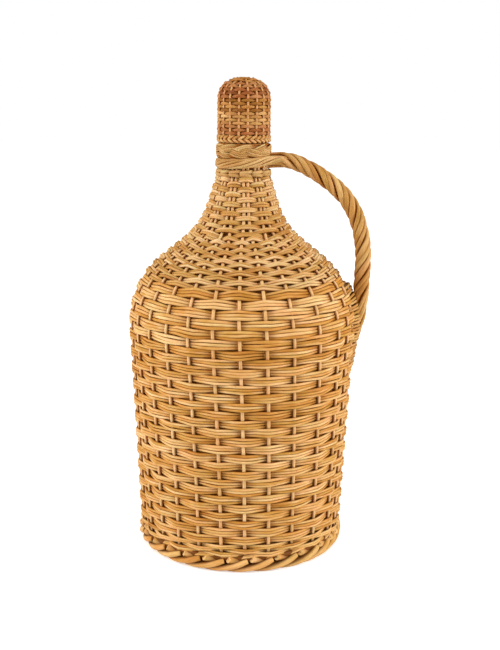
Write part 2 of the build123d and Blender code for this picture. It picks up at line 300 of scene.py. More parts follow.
floor_height = 13.0 * mm
base_rod_diameter = 2.4 * mm
stick_diameter = 4.0 * mm
lay_gap = 0.35 * mm
stick_count, stick_steps = 8, 25
round_height = floor_height - lay_gap - base_rod_diameter / 2
stick_height = round_height - base_rod_diameter / 2 - lay_gap - stick_diameter / 2
stick_reach = 73.7 * mm
crossing_lift, crossing_width = 0.9 * mm, 12 * mm

sticks = Bundle()
for stick in range(stick_count):
    reach = np.linspace(-stick_reach, stick_reach, stick_steps)
    rise = crossing_lift * (stick % 2 - 0.5) * np.exp(-((reach / crossing_width) ** 2))
    line = polar(reach, math.pi * stick / stick_count, stick_height + rise)
    half = stick_diameter / 2 * np.linspace(1.04, 0.92, stick_steps)
    sticks.rod(line, (0, 0, -1), half, half, chance.uniform(0.2, 0.7), sides=12)
sticks.piece("base_sticks_rods", foot_willow, "flask", "willow_foot", "base_sticks")

round_count, first_round, first_woven_round = 22, 12 * mm, 20 * mm
round_pitch = base_rod_diameter + lay_gap
rounds = Bundle()
for place in range(round_count):
    radius = first_round + place * round_pitch
    steps = 16 * (6 if radius < 30 * mm else 10)
    turn = np.linspace(0, math.tau, steps + 1)
    weave = np.ones_like(turn)
    if radius > first_woven_round:
        weave = np.cos(turn * stick_count + place * math.pi)
    dip = (round_height - stick_height) * (np.clip(weave * 1.4, -1, 1) - 1)
    uneven_radius = radius + 0.25 * mm * np.sin(turn * 3 + place)
    line = polar(uneven_radius, turn, round_height + dip)
    rounds.rod(line, (0, 0, -1), 1.25 * mm, 1.15 * mm, chance.uniform(0.1, 0.8), sides=7)
rounds.piece("base_rounds_rods", foot_willow, "flask", "willow_foot", "base_rounds")

# ---- Foot border ----
# The thick rods of the foot are turned down one after another: each sweeps out from under the base
# and up to the right, and its neighbour's trimmed end stands out beside it. It is worn flat below.

border_radius, border_middle = 82.2 * mm, 7.6 * mm
stake_count, first_angle = 28, -86.5
drift_most, drift_middle, drift_width = 6.2, -33.0, 22.0


def standing_angle(number):
    """Where a stake stands round the side: evenly, but for a stretch where the spacing drifts."""
    even = first_angle + number * 360 / stake_count
    return even + drift_most * math.exp(-(((even - drift_middle) / drift_width) ** 2))


def smooth_through(keys, steps):
    """A smooth line through rows of numbers, with steps between each two rows."""
    keys = np.asarray(keys, float)
    padded = np.vstack([2 * keys[0] - keys[1], keys, 2 * keys[-1] - keys[-2]])
    share = np.linspace(0, 1, steps, endpoint=False)[:, None]
    parts = []
    for a, b, c, d in zip(padded, padded[1:], padded[2:], padded[3:]):
        cubic = share * (3 * (b - c) + d - a)
        parts.append(b + 0.5 * share * (c - a + share * (2 * a - 5 * b + 4 * c - d + cubic)))
    return np.vstack(parts + [keys[-1:]])


def border_line(angle, keys, steps=3):
    """A line on the border from rows of run round it, angle about its own middle and depth in it."""
    run, lean, depth = smooth_through(keys, steps).T
    turn = np.radians(angle) + run * mm / border_radius
    lean = np.radians(lean)
    level = border_middle + depth * mm * np.sin(lean)
    line = polar(border_radius + depth * mm * np.cos(lean), turn, level)
    return line, polar(np.cos(lean), turn, np.sin(lean))


def values_along(line, shares, values):
    """Values along a line, from those at some shares of it."""
    return np.interp(np.linspace(0, 1, len(line)), shares, values)


sweep_keys = [(-70, -215, 2.0), (-62, -175, 4.2), (-52, -132, 5.2), (-41, -98, 5.3), (-29, -60, 5.4),
              (-17, -24, 5.4), (-10.5, 0, 5.4), (-6.5, 17, 5.4), (-3.3, 31, 5.2)]
stub_keys = [(0.2, 37, 6.9), (0.9, 38, 6.1), (2.6, 40, 5.2), (6, 46, 4.0), (10, 55, 2.8), (14, 64, 1.6)]
stroke_keys = [(-9, 46, 5.6), (-5, 50, 7.2), (1, 54, 7.6), (7, 60, 7.1), (12, 68, 5.4)]
core_half, stub_half, pith_half = 2.7 * mm, 2.8 * mm, 0.5 * mm
core_run = np.linspace(-100, 520, 90)
border = Bundle()
for lean, depth in ((92, 5.0), (64, 5.4), (-70, 2.4), (180, 2.6)):
    line, outward = border_line(0, [(run, lean, depth) for run in core_run], 1)
    # Painted shade: the core rods under the border are darkened almost to the shade brown.
    border.rod(line, outward, core_half, core_half, 0.2, 0.9)
for stake in range(stake_count):
    angle = standing_angle(stake) - 5.0 + chance.normal(0, 0.4)
    wide = chance.uniform(0.94, 1.06)
    line, outward = border_line(angle, sweep_keys)
    half = values_along(line, [0, 0.3, 0.8, 1], [2.0, 2.75, 2.75, 2.45]) * mm * wide
    border.rod(line, outward, half, half, chance.uniform(0.35, 0.95), 0.0, 12)
    keys = np.array(stub_keys) + [0, chance.normal(0, 2.0), 0]
    line, outward = border_line(angle, keys, 4)
    half = stub_half * chance.uniform(0.92, 1.06)
    # Painted shade on each stub, growing where it goes in under its neighbour.
    shelter = values_along(line, [0, 0.35, 0.75], [0, 0.1, 0.85])
    border.rod(line, outward, half, half, chance.uniform(0.6, 0.95), shelter, 14)
    ahead = unit(line[0] - line[1])
    face = [line[0] - ahead * 0.5 * mm, line[0], line[0] + ahead * 0.12 * mm]
    border.rod(face, outward[0], 0.88 * half, 0.88 * half, 1.0, 0.0, 14, cut=True)
    # The pith is a darker dot of the willow's own, drawn with the same brown as the painted shade.
    pith = [line[0], line[0] + ahead * 0.1 * mm, line[0] + ahead * 0.2 * mm]
    border.rod(pith, outward[0], pith_half, pith_half, 0.0, 0.5, 8, cut=True)
    for lift in (3, 10.5, 18):
        keys = np.array(stroke_keys) + [chance.normal(0, 0.6), lift + chance.normal(0, 2), 0]
        line, outward = border_line(angle, keys, 4)
        half = values_along(line, [0, 0.3, 0.7, 1], [0.8, 1.15, 1.1, 0.7]) * mm
        border.rod(line, outward, half, half, chance.uniform(0.3, 1.0), 0.0, 8)
for points in border.points:
    points[:, 2] = np.maximum(points[:, 2], 0)
border.piece("foot_border_rods", foot_willow, "flask", "willow_foot", "foot_border")

# ---- Stakes ----
# Twenty-eight peeled willow uprights, paler than the weavers, from the border up the side, over the
# shoulder and up the neck to the collar. Past the shoulder they close up in pairs.


class Outline:
    """A round form's outline, in stretches of length, arc radius (0 is straight) and end leans."""

    def __init__(self, radius, height, *stretches):
        rows = [(0.0, radius, height, stretches[0][2])]
        for length, bend, lean_from, lean_to in stretches:
            travel, radius, height, _ = rows[-1]
            first = math.radians(lean_from)
            for share in np.linspace(0, 1, 60)[1:]:
                gone = share * length
                lean = math.radians(lean_from + share * (lean_to - lean_from))
                if bend:
                    wide, high = math.cos(lean) - math.cos(first), math.sin(lean) - math.sin(first)
                    place = radius + bend * wide, height + bend * high
                else:
                    place = radius - gone * math.sin(first), height + gone * math.cos(first)
                rows.append((travel + gone, *place, math.degrees(lean)))
        self.rows = np.array(rows).T

    def at(self, travel, depth):
        """Radius, height and lean of the layer that lies depth outside the outline."""
        radius, height, lean = (np.interp(travel, self.rows[0], row) for row in self.rows[1:])
        lean = np.radians(lean)
        return radius + depth * np.cos(lean), height + depth * np.sin(lean), lean

    def place(self, angle, travel, depth):
        """Points of that layer at angles about the axis, and the way out of the surface there."""
        radius, height, lean = self.at(travel, depth)
        turn = np.radians(angle)
        return polar(radius, turn, height), polar(np.cos(lean), turn, np.sin(lean))


def arc_length(radius, lean_from, lean_to):
    """Length of an arc between two leans."""
    return abs(radius * math.radians(lean_to - lean_from))


foot_radius = 80.4 * mm
side_length, side_lean = 178.0 * mm, -2.8
shoulder_radius, slope_length, slope_lean = 65.3 * mm, 24.5 * mm, 51.5
hollow_radius, throat_lean, throat_length = 67.8 * mm, 18.0, 26.0 * mm
neck_bend_radius, neck_length = 20.0 * mm, 40.0 * mm
shoulder_length = arc_length(shoulder_radius, side_lean, slope_lean)
hollow_length = arc_length(hollow_radius, slope_lean, throat_lean)
neck_bend_length = arc_length(neck_bend_radius, throat_lean, 0)
bottle = Outline(
    foot_radius, floor_height,
    (side_length, 0, side_lean, side_lean),
    (shoulder_length, shoulder_radius, side_lean, slope_lean),
    (slope_length, 0, slope_lean, slope_lean),
    (hollow_length, -hollow_radius, slope_lean, throat_lean),
    (throat_length, 0, throat_lean, throat_lean),
    (neck_bend_length, -neck_bend_radius, throat_lean, 0),
    (neck_length, 0, 0, 0),
)
stake_diameter, rod_diameter = 2.8 * mm, 2.4 * mm
weave_depth = lay_gap + rod_diameter + lay_gap + stake_diameter / 2
weave_swing = stake_diameter / 2 + lay_gap + rod_diameter / 2
skin_depth = weave_depth + weave_swing + rod_diameter / 2
face_depth = weave_depth + 0.8 * mm
face_swing = skin_depth - face_depth - rod_diameter / 2
pairing_start = side_length + shoulder_length + slope_length


def stake_angle(number, travel):
    """Where a stake is at a travel up the bottle: past the shoulder it closes up on its partner."""
    twist = np.interp(travel, [0, 65 * mm, 130 * mm, 200 * mm], [4.2, 3.4, 2.0, 0])
    own = standing_angle(number) + twist
    partner = standing_angle(number + 1 if number % 2 == 0 else number - 1) + twist
    spacing = np.degrees((stake_diameter + lay_gap) / bottle.at(travel, weave_depth)[0])
    closed = (own + partner + np.copysign(spacing, own - partner)) / 2
    share = np.clip((travel - pairing_start) / hollow_length, 0, 1)
    return own + share * (closed - own)


side_start, side_count, side_pitch = 12.0 * mm, 29, 7.24 * mm
neck_start, neck_count, neck_pitch = side_start + side_count * side_pitch, 26, 4.15 * mm
neck_end = neck_start + neck_count * neck_pitch
doubled_from = side_count + 13
courses = [(number, side_start + number * side_pitch, side_pitch) for number in range(side_count)]
courses += [(side_count + n, neck_start + n * neck_pitch, neck_pitch) for n in range(neck_count)]

stake_willow = willow("stake_willow", paint(176, 118, 62), paint(218, 168, 108), paint(240, 204, 152))
stake_foot, stake_end, stake_wave = 4.0 * mm, neck_end + 16.5 * mm, 0.35 * mm
stakes = Bundle()
for stake in range(stake_count):
    travel, wave = [stake_foot], [0.0]
    for number, start, pitch in courses:
        column = stake if number < doubled_from else stake // 2
        side = -1 if column % 2 == number % 2 else 1
        travel += [start + 0.06 * pitch, start + 0.5 * pitch, start + 0.94 * pitch]
        wave += [0.3 * side, side, 0.3 * side]
    travel += list(np.linspace(neck_end, stake_end, 5))
    wave += [0.0] * 5
    travel, wave = np.array(travel), np.array(wave)
    line, outward = bottle.place(stake_angle(stake, travel), travel, face_depth + stake_wave * wave)
    half = np.interp(travel, [0, neck_start, neck_end], [1.56, 1.5, 1.36]) * mm
    half = half * chance.uniform(0.95, 1.04)
    # Painted shade where the stake goes behind a course.
    shelter = np.clip(0.25 - wave, 0, 1) * 0.5
    stakes.rod(line, outward, half, half, chance.uniform(0.45, 0.95), shelter)
stakes.piece("stakes_rods", stake_willow, "flask", "willow_stakes", "stakes")

# ---- Foot wale ----
# Three rounds of two thinner rods sit on the border, in front of one stake and behind the next, and
# the backs of the rods close the weave behind them.


def stake_columns(travel, abreast, first=0):
    """The angles of the stakes at a travel, one or two at a time, from a column on."""
    angles = [float(stake_angle(stake, travel)) for stake in range(stake_count)]
    columns = [np.array(angles[n:n + abreast]) for n in range(0, stake_count, abreast)]
    return columns[first:] + [column + 360 for column in columns[:first]]


def wander(count, amount):
    """A slow unevenness along a rod, from a knot at about every sixth point."""
    knots = chance.normal(0, amount, count // 6 + 3)
    return np.interp(np.linspace(0, len(knots) - 1, count), np.arange(len(knots)), knots)


def weave_line(columns, over, steps):
    """The angles of a course and how far out or in it is, twice round, and where each column is."""
    angles, waves, stops = [], [], []
    count = len(columns)
    share = np.arange(1, steps) / steps
    for turn in range(2 * count + 1):
        column = columns[turn % count] + 360 * (turn // count)
        following = columns[(turn + 1) % count] + 360 * ((turn + 1) // count)
        side = 1 if turn % 2 == over else -1
        stops.append(len(angles))
        angles += list(column)
        waves += [side] * len(column)
        angles += list(column[-1] + share * (following[0] - column[-1]))
        waves += list(side * (0.8 * (1 - 2 * share) + 0.2 * np.cos(math.pi * share)))
    return np.array(angles), np.array(waves), stops


def weave_course(bundle, outline, columns, over, start, pitch, abreast, half, depth, swing,
                 steps=8, lens=0.06, spans=(3, 7), uneven=0.26 * mm, slack=(0.97, 0.06), wide=1.0):
    """One course of rods abreast, each as long as a few stakes and spliced behind one of them."""
    angles, waves, stops = weave_line(columns, over, steps)
    shared = wander(len(angles), uneven)
    half_round = len(columns) // 2
    shortest = 4
    for lane in range(abreast):
        begun = 1 - over + 2 * int(chance.integers(0, half_round))
        left = len(columns)
        while left > 0:
            span = min(left, 2 * int(chance.integers(*spans)))
            span = left if left - span < shortest else span
            pick = slice(max(stops[begun] - 1, 0), stops[begun + span] + len(columns[0]) + 1)
            angle, wave = angles[pick], waves[pick]
            size = len(angle)
            offset = (lane - (abreast - 1) / 2) * pitch / abreast * (slack[0] + slack[1] * wave)
            travel = start + pitch / 2 + offset + 0.25 * mm * wave + shared[pick]
            travel = travel + wander(size, uneven / 2)
            taper = np.linspace(1.05, 0.90, size) * chance.uniform(0.95, 1.05)
            across = half * wide * taper * (1 + lens * wave)
            through = half * taper * 0.97
            reach = depth + swing * wave + np.maximum(wave, 0) * (half - through)
            line, outward = outline.place(angle, travel, reach)
            # Painted shade where the rod goes behind a stake.
            shelter = np.clip(-0.35 - wave, 0, 1) * 0.9
            bundle.rod(line, outward, across, through, chance.uniform(0.0, 1.0), shelter)
            begun += span
            left -= span


def lining(bundle, outline, travels, depth, half):
    """The backs of the rods behind a weave, as rounds of rod darkened with painted shade."""
    for travel in travels:
        line, outward = outline.place(np.linspace(0, 360, 73), travel, depth)
        # Painted shade: the backs are blended most of the way to the shade brown.
        bundle.rod(line, outward, half, half, chance.uniform(0.1, 0.5), 0.7)


wale_start, wale_pitch, wale_half = 1.7 * mm, 3.4 * mm, 1.0 * mm
foot_wale = Bundle()
lining(foot_wale, bottle, np.arange(0.6, 12, 2.2) * mm, 2.1 * mm, 1.3 * mm)
for row in range(3):
    start = wale_start + row * wale_pitch
    weave_course(foot_wale, bottle, stake_columns(start, 1), (row + 1) % 2, start, wale_pitch, 2,
                 wale_half, face_depth, face_swing, spans=(2, 6), slack=(0.98, 0.10))
foot_wale.piece("foot_wale_rods", foot_willow, "flask", "willow_foot", "foot_wale")

# ---- Side courses ----
# Peeled buff willow, three rods abreast, in front of one stake and behind the next. The rods are
# pinched together behind a stake and spread over the next, which leaves the small dark slits.

weaver_willow = willow("weaver_willow", paint(164, 100, 14), paint(209, 152, 74), paint(242, 204, 148))
shoulder_stoutness = 1.12

for number, start, pitch in courses[:side_count]:
    course = Bundle()
    columns = stake_columns(start + pitch / 2, 1)
    full = rod_diameter / 2 * (shoulder_stoutness if start > side_length else 1.0)
    lining(course, bottle, start + pitch * np.array([1, 3, 5]) / 6, 2.0 * mm, 1.35 * mm)
    weave_course(course, bottle, columns, number % 2, start, pitch, 3, full, face_depth,
                 face_swing + rod_diameter / 2 - full)
    name = f"side_course_{number + 1:02d}"
    course.piece(name + "_rods", weaver_willow, "flask", "willow_weavers", name)

# ---- Shoulder and neck courses ----
# The same willow in thinner tips, two rods abreast, closer together over the shoulder and up the
# neck, round single stakes and then round two stakes at a time.

tip_willow = willow("tip_willow", paint(157, 102, 28), paint(202, 153, 85), paint(235, 202, 153))
neck_group, tip_half = 3, 1.22 * mm
for first in range(0, neck_count, neck_group):
    band = Bundle()
    for number, start, pitch in courses[side_count + first:side_count + first + neck_group]:
        abreast = 1 if number < doubled_from else 2
        columns = stake_columns(start + pitch / 2, abreast)
        lining(band, bottle, start + pitch * np.array([1, 3]) / 4, 1.9 * mm, 1.2 * mm)
        weave_course(band, bottle, columns, number % 2, start, pitch, 2, tip_half, face_depth,
                     face_swing, steps=7 if abreast == 1 else 6, spans=(2, 5))
    name = f"neck_courses_{first // neck_group + 1}"
    band.piece(name + "_rods", tip_willow, "flask", "willow_weavers", name)

# ---- Neck waling ----
# Two rounds of pairing close the weave: two rods cross between the pairs of stakes, one round
# dipping and the next climbing, so that together they look like a chain.


def pairing(bundle, outline, columns, travel, rise, half, depth, swing):
    """One round of two rods that cross between the columns, dipping, or climbing if rise < 0."""
    middles = [np.mean(column) for column in columns]
    middles.append(middles[0] + 360)
    rods, steps, lift = 2, 8, 0.5 * mm
    place = np.linspace(0, len(columns), len(columns) * steps + 1)
    angle = np.interp(place, np.arange(len(columns) + 1), middles)
    for rod in range(rods):
        phase = (place + rod) / rods % 1
        wave = np.clip(-1.6 * np.cos(phase * math.tau), -1, 1)
        fall = np.interp(phase, [0, 0.13, 0.87, 1], [0, 1, -1, 0])
        proud = np.interp(phase, [0, 0.15, 0.34, 0.66, 0.85, 1], [0, 0, 1, -0.8, 0, 0]) * lift
        line, outward = outline.place(angle, travel + rise * fall, depth + swing * wave + proud)
        # Painted shade where the rod goes behind the stakes.
        shelter = np.clip(-wave, 0, 1) * 0.8
        width = half * (1 + 0.06 * wave)
        bundle.rod(line, outward, width, width, chance.uniform(0.2, 0.9), shelter, 7)


neck_willow = willow("neck_willow", paint(140, 87, 28), paint(185, 140, 80), paint(218, 184, 128))
waling = Bundle()
lining(waling, bottle, neck_end + np.arange(1.0, 9.0, 2.2) * mm, 1.9 * mm, 1.2 * mm)
for travel, rise in ((neck_end + 2.3 * mm, 1.2 * mm), (neck_end + 6.3 * mm, -1.2 * mm)):
    pairing(waling, bottle, stake_columns(travel, 2, 7), travel, rise, 1.5 * mm,
            weave_depth + 0.6 * mm, weave_swing - 0.2 * mm)
waling.piece("neck_waling_rods", neck_willow, "flask", "willow_neck", "neck_waling")

# ---- Handle wrap ----
# The thin ends of the handle's rods are laid round the neck side by side, and sweep off it into the
# handle.


def hoop(radius, level, steps=60):
    """A level ring round the axis."""
    return polar(radius, np.linspace(0, math.tau, steps), level)


wrap_strands, wrap_radius, wrap_lay = 7, 21.6 * mm, 78 * mm
wrap_high, wrap_thick = 2.95 * mm, 1.0 * mm
wrap = Bundle()
# Painted shade on the core under the wrap.
wrap.rod(hoop(19.7 * mm, 330.6 * mm), (0, 0, 1), 1.1 * mm, 4.4 * mm, 0.3, 0.6, 12)
for side in (-1, 1):
    behind = side > 0
    turn = np.radians(np.arange(212, 36, -4))
    share = np.linspace(0, 1, len(turn))
    level = 330.0 + np.interp(share, [0, 0.3, 0.7, 1], [-0.2, -0.4, 0.1, 1.8])
    level = (level - 1.6 * behind * share ** 3) * mm
    around = polar(wrap_radius - 0.3 * mm * behind, side * turn, level)
    leaving = np.array([(26.5, 6.0 * side, 332.2 - 0.7 * side), (32.0, 4.3 * side, 332.6 - 0.5 * side),
                        (38.0, 2.6 * side, 332.0 - 0.4 * side)]) * mm
    spine = smooth_through(np.vstack([around, leaving]), 2)
    run = unit(np.gradient(spine, axis=0))
    away = np.cross(run, (0, 0, 1)) * -side
    lift = np.cross(away, run) * -side
    went = length_along(spine)
    tight = np.interp(went / went[-1], [0, 0.72, 1], [1, 1, 0.6])
    for strand in range(wrap_strands):
        begin = (strand + chance.uniform(-0.12, 0.12)) / wrap_strands
        phase = (went / wrap_lay + begin) * math.tau
        aside = (wrap_high * tight * np.sin(phase))[:, None] * lift
        aside = aside + (wrap_thick * np.cos(phase))[:, None] * away
        facing = away * (0.35 + np.abs(np.cos(phase)))[:, None] + lift * np.sin(phase)[:, None]
        half = np.interp(went / went[-1], [0, 0.9, 1], [1.3, 1.3, 0.9]) * mm
        half = half * chance.uniform(0.9, 1.12)
        # Painted shade where a strand turns in under the others.
        shelter = np.clip(-np.cos(phase), 0, 1) * 0.6
        wrap.rod(spine + aside, facing, half, half, chance.uniform(0.2, 1.0), shelter, 8)
wrap.piece("handle_wrap_rods", neck_willow, "flask", "willow_neck", "handle_wrap")

# ---- Neck collar ----
# The stakes end in a plait round the lip of the glass: three strands of four thin rods each, which
# loop over and under each other. Its crests end just below the border of the cap, which lifts off.

collar_middle, plait_radius, plait_turns = 340.0 * mm, 20.9 * mm, 3
plait_depth, plait_rod_half = 1.35 * mm, 0.92 * mm
collar = Bundle()
# Painted shade on the core and the two rings behind the plait.
collar.rod(hoop(18.6 * mm, collar_middle), (0, 0, 1), 1.5 * mm, 5.6 * mm, 0.3, 0.7, 12)
for level in (345.4 * mm, 335.8 * mm):
    collar.rod(hoop(19.9 * mm, level), (0, 0, 1), 1.1 * mm, 1.1 * mm, 0.4, 0.6, 8)
for strand in range(3):
    turn = np.linspace(0, math.tau, plait_turns * 40 + 1)
    phase = turn * plait_turns + strand * math.tau / 3 + 0.35 * np.sin(2 * turn + 2 * strand) + 0.9
    rise = (2.75 + 0.3 * np.sin(turn * 2 + strand * 1.7)) * mm * np.sin(phase)
    out = plait_depth * np.sin(2 * phase)
    along, climb = np.gradient(turn * plait_radius), np.gradient(rise)
    slant = np.hypot(along, climb)
    for lane in (-1.5, -0.5, 0.5, 1.5):
        spread = (1.55 + 0.12 * np.sin(turn * 5 + lane * 2 + strand)) * mm
        aside = lane * spread
        angle = turn - aside * climb / slant / plait_radius
        level = collar_middle + rise + aside * along / slant
        radius = plait_radius + out + 0.35 * mm * (1.5 - abs(lane))
        # Painted shade where a strand dips in under the others.
        shelter = np.clip(-out / plait_depth, 0, 1) * 0.55
        half = plait_rod_half * chance.uniform(0.88, 1.1)
        collar.rod(polar(radius, angle, level), polar(1.0, angle, 0.0), half, half,
                   chance.uniform(0.1, 1.0), shelter, 7)
collar.piece("neck_collar_rods", neck_willow, "flask", "willow_neck", "neck_collar")

# ---- Handle ----
# Six stout rods twisted round a core rod, from the neck over and down to the side, where their
# tails separate and go down into the weave, held by short lengths of weaver.

handle_middle = np.array([
    (20.0, 331.8), (26.2, 332.4), (33.7, 332.6), (41.7, 331.2), (49.7, 328.1), (59.9, 322.9),
    (69.2, 317.0), (78.7, 309.5), (87.2, 300.5), (94.2, 288.9), (98.6, 276.6), (101.2, 264.7),
    (102.3, 251.0), (101.9, 237.1), (101.5, 225.7), (101.0, 213.6), (100.2, 202.0), (97.9, 190.1),
    (94.6, 178.7), (90.4, 167.5),
]) * mm
middle = smooth_through(handle_middle, 10)
travelled = length_along(middle)
samples = np.arange(0, travelled[-1], 1.6 * mm)
middle = np.stack([np.interp(samples, travelled, middle[:, axis]) for axis in (0, 1)], -1)
handle_run = unit(np.gradient(middle, axis=0))
out_x, out_z = -handle_run[:, 1], handle_run[:, 0]
handle_willow = willow("handle_willow", paint(142, 86, 16), paint(186, 135, 67), paint(223, 182, 122),
                       gloss=0.26, flank_shade_most=0.95)
strand_halves = np.array([2.8, 1.9, 2.55, 1.85, 2.7, 2.3])
strand_places = (np.cumsum(strand_halves) - strand_halves / 2) / strand_halves.sum() * math.tau
twist_length = 53 * mm
tail_start, tail_end, tail_tip = 160 * mm, 192 * mm, 213 * mm
unwound = np.interp(samples, [0, 11 * mm, tail_start, 215 * mm], [0, 0, 149 * mm, 180 * mm])
rope = Bundle()
for place, girth in zip(strand_places, strand_halves * mm):
    wobble = 0.14 * np.sin(samples / (34 * mm) + place * 2.4)
    phase = place + 0.5 - unwound / twist_length * math.tau + wobble
    half = girth * np.interp(samples, [0, 30 * mm, tail_start, tail_end, tail_tip],
                             [0.86, 0.97, 1.0, 0.8, 0.5])
    outer = np.interp(samples, [0, 16 * mm, 60 * mm, tail_start, tail_end, tail_tip],
                      [6.35, 6.6, 7.05, 6.9, 5.2, 3.4]) * mm
    spacing = outer - half
    over, beside = spacing * np.cos(phase), spacing * np.sin(phase)
    line = np.stack([middle[:, 0] + out_x * over, beside, middle[:, 1] + out_z * over], -1)
    way = np.stack([out_x * np.cos(phase), np.sin(phase), out_z * np.cos(phase)], -1)
    last = np.searchsorted(samples, chance.uniform(204, 213) * mm)
    rope.rod(line[:last], way[:last], half[:last], half[:last], chance.uniform(0.1, 0.95), 0.0, 14)

tail_bands = ((221, 6.4), (214, 8.0), (206.5, 8.6), (199, 8.6), (191.5, 8.0), (183.6, 7.2),
              (175.6, 5.9), (168.3, 5.2), (161.1, 4.5))
tail_reach, tail_steps = 9, 31
band_pitch, band_half = 2.25, 1.2 * mm
for height, swell in tail_bands:
    for lane in (-1, 0, 1):
        angle = np.linspace(-tail_reach, tail_reach, tail_steps) + chance.normal(0, 0.3)
        arch = np.cos(np.radians(angle * 90 / tail_reach))
        level = height * mm + lane * band_pitch * mm + 0.7 * mm * arch + wander(tail_steps, 0.2 * mm)
        travel = np.interp(level, bottle.rows[2], bottle.rows[0])
        bulge = np.clip(arch, 0, 1) ** 0.8 * (swell + 0.4 * (1 - abs(lane))) * mm
        line, outward = bottle.place(angle + 0.4, travel, face_depth - face_swing * 0.6 + bulge)
        rope.rod(line, outward, band_half, band_half, chance.uniform(0.2, 0.9), 0.0, 7)
rope.piece("handle_rope_rods", handle_willow, "flask", "willow_handle", "handle_rope")

bow = Bundle()
bow_end, bow_half = 200 * mm, 2.7 * mm
core = middle[middle[:, 1] > bow_end]
line = np.stack([core[:, 0], 0 * core[:, 0], core[:, 1]], -1)
# Painted shade on the core rod inside the twisted handle.
bow.rod(line, (0, 1, 0), bow_half, bow_half, 0.3, 0.6, 10)
bow.piece("handle_bow_rod", handle_willow, "flask", "willow_handle", "handle_bow")

# ---- Cork ----
# A turned natural cork: a tapered shank in the neck and a round-topped head that the cap is woven
# on. Only the shank shows, when the stopper is drawn.


def natural_cork():
    """Cork bark: warm tan with small dark pores that lie along the growth."""
    finish = Finish(bpy.data.materials.new("natural_cork"))
    place = finish.here()
    cloud = finish.noise(place, 160.0, 4.0, 0.65)
    pore = finish.noise(finish.stretch(place, 2.4, 1.0, 1.0), 620.0, 2.0)
    hole = finish.share(pore, 0.60, 0.72)
    colour = finish.blend(cloud, paint(176, 126, 78), paint(216, 170, 118))
    colour = finish.blend(hole, colour, paint(96, 58, 32))
    bump = finish.bump(0.5, 0.0004, cloud - hole * 0.8)
    return finish.surface({"Base Color": colour, "Roughness": 0.72 + 0.2 * cloud, "Normal": bump})


dress("cork_stopper", natural_cork())

# ---- Woven cap ----
# A cap of fine willow on the cork's head: a border of two twisted tiers, eighteen thin stakes, rows
# of single rods in three shades, and a crown where rods and stakes close over the top.

head_radius, head_bottom, head_height = 16.2 * mm, 348.7 * mm, 33.6 * mm
dome_radius = 11.4 * mm
dome_length = arc_length(dome_radius, 0, 90)
head = Outline(
    head_radius, head_bottom,
    (head_height, 0, 0, 0),
    (dome_length, dome_radius, 0, 90),
    (4.8 * mm, 0, 90, 90),
)
cap_stake_count, cap_first_angle, cap_spacing = 18, -76.5, 20.0
cap_weave_depth, cap_swing = 4.25 * mm, 0.95 * mm
cap_columns = [np.array([cap_first_angle + cap_spacing * n]) for n in range(cap_stake_count)]
head_row_count, dome_row_count = 11, 5
cap_start, dome_pitch = 4.65 * mm, 2.1 * mm
cap_pitch = (head_height - cap_start) / head_row_count
cap_rows = [(cap_start + row * cap_pitch, cap_pitch) for row in range(head_row_count)]
cap_rows += [(head_height + row * dome_pitch, dome_pitch) for row in range(dome_row_count)]
crown_start = head_height + dome_row_count * dome_pitch

cap_pale = willow("cap_pale_willow", paint(138, 84, 34), paint(192, 142, 80), paint(224, 180, 122),
                  flank_shade_most=0.8)
cap_golden = willow("cap_golden_willow", paint(110, 60, 12), paint(170, 113, 46), paint(206, 154, 90),
                    flank_shade_most=0.8)
cap_russet = willow("cap_russet_willow", paint(108, 52, 18), paint(157, 94, 46), paint(190, 132, 82),
                    flank_shade_most=0.8)
cap_bright = willow("cap_stake_willow", paint(160, 98, 46), paint(198, 142, 88), paint(224, 178, 126))

cap_stakes = Bundle()
for column in range(cap_stake_count):
    travel, wave = [cap_start - 2.5 * mm], [0.0]
    for row, (start, pitch) in enumerate(cap_rows):
        travel += [start + 0.1 * pitch, start + 0.5 * pitch, start + 0.9 * pitch]
        wave += [0.0, -1 if column % 2 == row % 2 else 1, 0.0]
    travel, wave = np.array(travel + [crown_start + 0.5 * mm]), np.array(wave + [0.0])
    lean = chance.normal(0, 0.6)
    angle = cap_columns[column][0] + lean * travel / head_height
    line, outward = head.place(angle, travel, cap_weave_depth + 0.45 * mm + 0.3 * mm * wave)
    half = np.interp(travel, [0, crown_start], [1.08, 0.9]) * mm
    # Painted shade where a stake goes behind a row.
    shelter = np.clip(0.2 - wave, 0, 1) * 0.5
    cap_stakes.rod(line, outward, half, half, chance.uniform(0.4, 1.0), shelter)
cap_stakes.piece("cap_stakes_rods", cap_bright, "stopper", "cap_stake_willow", "cap_stakes")

cap_zones = (
    ("cap_rows_dark", 0, 3, cap_russet, "cap_willow_russet"),
    ("cap_rows_pale", 3, 7, cap_pale, "cap_willow_pale"),
    ("cap_rows_golden", 7, 11, cap_golden, "cap_willow_golden"),
    ("cap_rows_russet", 11, 16, cap_russet, "cap_willow_russet"),
)
for name, first, last, material, slot in cap_zones:
    zone = Bundle()
    for row in range(first, last):
        start, pitch = cap_rows[row]
        lining(zone, head, [start + pitch / 2], 2.0 * mm, 1.5 * mm)
        weave_course(zone, head, cap_columns, row % 2, start, pitch, 1, 1.0 * mm, cap_weave_depth,
                     cap_swing, steps=6, lens=0.2, spans=(2, 5), uneven=0.12 * mm, wide=1.36)
    zone.piece(name + "_rods", material, "stopper", slot, name)

